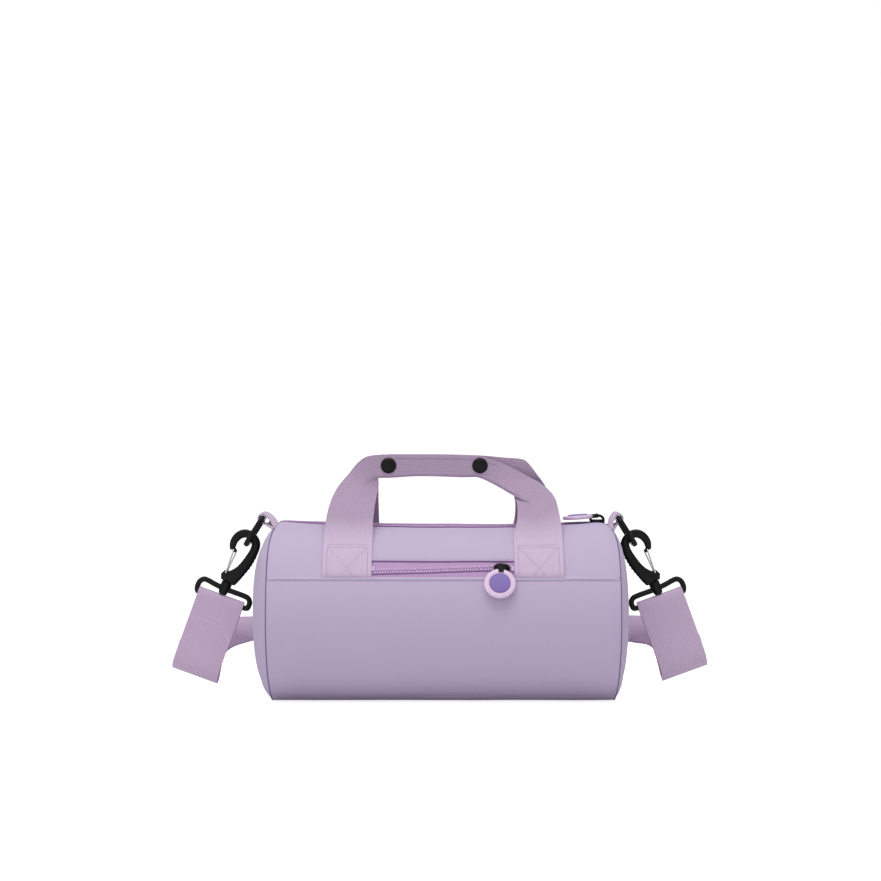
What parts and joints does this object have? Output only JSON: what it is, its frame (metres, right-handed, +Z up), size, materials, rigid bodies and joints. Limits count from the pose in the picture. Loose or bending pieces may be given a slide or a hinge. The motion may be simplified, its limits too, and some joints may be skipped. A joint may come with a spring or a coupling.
{
  "type": "barrel bag",
  "caption": "Small cylindrical fabric bag with a top zip, a front zip pocket, snapped-together webbing handles and a clip-on shoulder strap on swivel hooks.",
  "frame": {"origin": "middle of the flat strip that the bag rests on", "axes": "+X along the bag, towards the end where the closed main zip's slider rests; front faces -Y; +Z up"},
  "size_m": [0.4313, 0.1678, 0.194],
  "materials": {
    "body_fabric": "smooth lilac cloth",
    "lining_fabric": "thin plain lining",
    "piping": "narrow seam binding",
    "zip_tape": "woven zip tape",
    "zip_coil": "nylon coil",
    "black_plastic": "moulded black",
    "steel_wire": "bright wire",
    "pull_ring": "soft pale rubbery",
    "pull_insert": "plain purple",
    "handle_webbing": "flat woven webbing",
    "strap_webbing": "flat woven webbing"
  },
  "bodies": {
    "bag": {"front_upper_panel": "body_fabric", "front_lower_panel": "body_fabric", "back_base_panel": "body_fabric", "left_end_panel": "body_fabric", "right_end_panel": "body_fabric", "lining": "lining_fabric", "pocket_bag": "lining_fabric", "left_seam_piping": "piping", "right_seam_piping": "piping", "main_zip_tape_front": "zip_tape", "main_zip_tape_back": "zip_tape", "pocket_zip_tape_lower": "zip_tape", "pocket_zip_tape_upper": "zip_tape", "main_zip_coil_front": "zip_coil", "main_zip_coil_back": "zip_coil", "pocket_zip_coil_lower": "zip_coil", "pocket_zip_coil_upper": "zip_coil", "main_zip_stops": "zip_coil", "pocket_zip_stops": "zip_coil", "left_swivel_base": "black_plastic", "right_swivel_base": "black_plastic", "front_left_anchor": "handle_webbing", "front_right_anchor": "handle_webbing", "back_left_anchor": "handle_webbing", "back_right_anchor": "handle_webbing", "left_ring_tab": "handle_webbing", "right_ring_tab": "handle_webbing", "strap_left_end": "strap_webbing", "strap_right_end": "strap_webbing", "strap_left_return": "strap_webbing", "strap_right_return": "strap_webbing", "strap_back_run": "strap_webbing", "strap_tail": "strap_webbing"},
    "main_slider": {"main_slider": "black_plastic"},
    "main_pull": {"main_pull_bail": "black_plastic", "main_pull_disc": "pull_ring", "main_pull_inserts": "pull_insert"},
    "pocket_slider": {"pocket_slider": "black_plastic"},
    "pocket_pull": {"pocket_pull_bail": "black_plastic", "pocket_pull_disc": "pull_ring", "pocket_pull_inserts": "pull_insert"},
    "front_handle": {"front_handle": "handle_webbing", "front_snap_caps": "black_plastic", "front_snap_sockets": "steel_wire"},
    "back_handle": {"back_handle": "handle_webbing", "back_snap_caps": "black_plastic", "back_snap_studs": "steel_wire"},
    "left_ring": {"left_ring": "black_plastic"},
    "right_ring": {"right_ring": "black_plastic"},
    "left_hook": {"left_hook": "black_plastic"},
    "right_hook": {"right_hook": "black_plastic"},
    "left_gate": {"left_gate": "steel_wire"},
    "right_gate": {"right_gate": "steel_wire"},
    "strap_adjuster": {"strap_adjuster": "black_plastic"}
  },
  "joints": [
    {"name": "main_slider_slide", "type": "slide", "parent": "bag", "child": "main_slider", "axis": [1, 0, 0], "range_m": [-0.225, 0]},
    {"name": "main_pull_flip", "type": "hinge", "parent": "main_slider", "child": "main_pull", "pos_m": [0.125, 0, 0.1448], "axis": [0, 1, 0], "range_deg": [0, 50]},
    {"name": "pocket_slider_slide", "type": "slide", "parent": "bag", "child": "pocket_slider", "axis": [1, 0, 0], "range_m": [-0.086, 0]},
    {"name": "pocket_pull_lift", "type": "hinge", "parent": "pocket_slider", "child": "pocket_pull", "pos_m": [0.047, -0.06451, 0.1088], "axis": [-1, 0, 0], "range_deg": [-8, 90]},
    {"name": "front_handle_fold", "type": "hinge", "parent": "bag", "child": "front_handle", "pos_m": [0.002, -0.04501, 0.1266], "axis": [1, 0, 0], "range_deg": [0, 100]},
    {"name": "back_handle_fold", "type": "hinge", "parent": "bag", "child": "back_handle", "pos_m": [0.002, 0.04501, 0.1266], "axis": [-1, 0, 0], "range_deg": [0, 100]},
    {"name": "strap_adjuster_slide", "type": "slide", "parent": "bag", "child": "strap_adjuster", "axis": [1, 0, 0], "range_m": [-0.03, 0.06]},
    {"name": "left_ring_swing", "type": "hinge", "parent": "bag", "child": "left_ring", "pos_m": [-0.1419, 0, 0.143], "axis": [0, 1, 0], "range_deg": [-3, 3]},
    {"name": "left_hook_swivel", "type": "hinge", "parent": "bag", "child": "left_hook", "pos_m": [-0.17255, 0, 0.08718], "axis": [0.4147, 0, 0.91], "range_deg": [-20, 20]},
    {"name": "left_gate_open", "type": "hinge", "parent": "left_hook", "child": "left_gate", "pos_m": [-0.17237, 0, 0.09721], "axis": [0, 1, 0], "range_deg": [0, 18], "stiffness_Nm_per_rad": 0.02},
    {"name": "right_ring_swing", "type": "hinge", "parent": "bag", "child": "right_ring", "pos_m": [0.1419, 0, 0.143], "axis": [0, -1, 0], "range_deg": [-3, 3]},
    {"name": "right_hook_swivel", "type": "hinge", "parent": "bag", "child": "right_hook", "pos_m": [0.17255, 0, 0.08718], "axis": [-0.4147, 0, 0.91], "range_deg": [-20, 20]},
    {"name": "right_gate_open", "type": "hinge", "parent": "right_hook", "child": "right_gate", "pos_m": [0.17237, 0, 0.09721], "axis": [0, -1, 0], "range_deg": [0, 18], "stiffness_Nm_per_rad": 0.02}
  ]
}
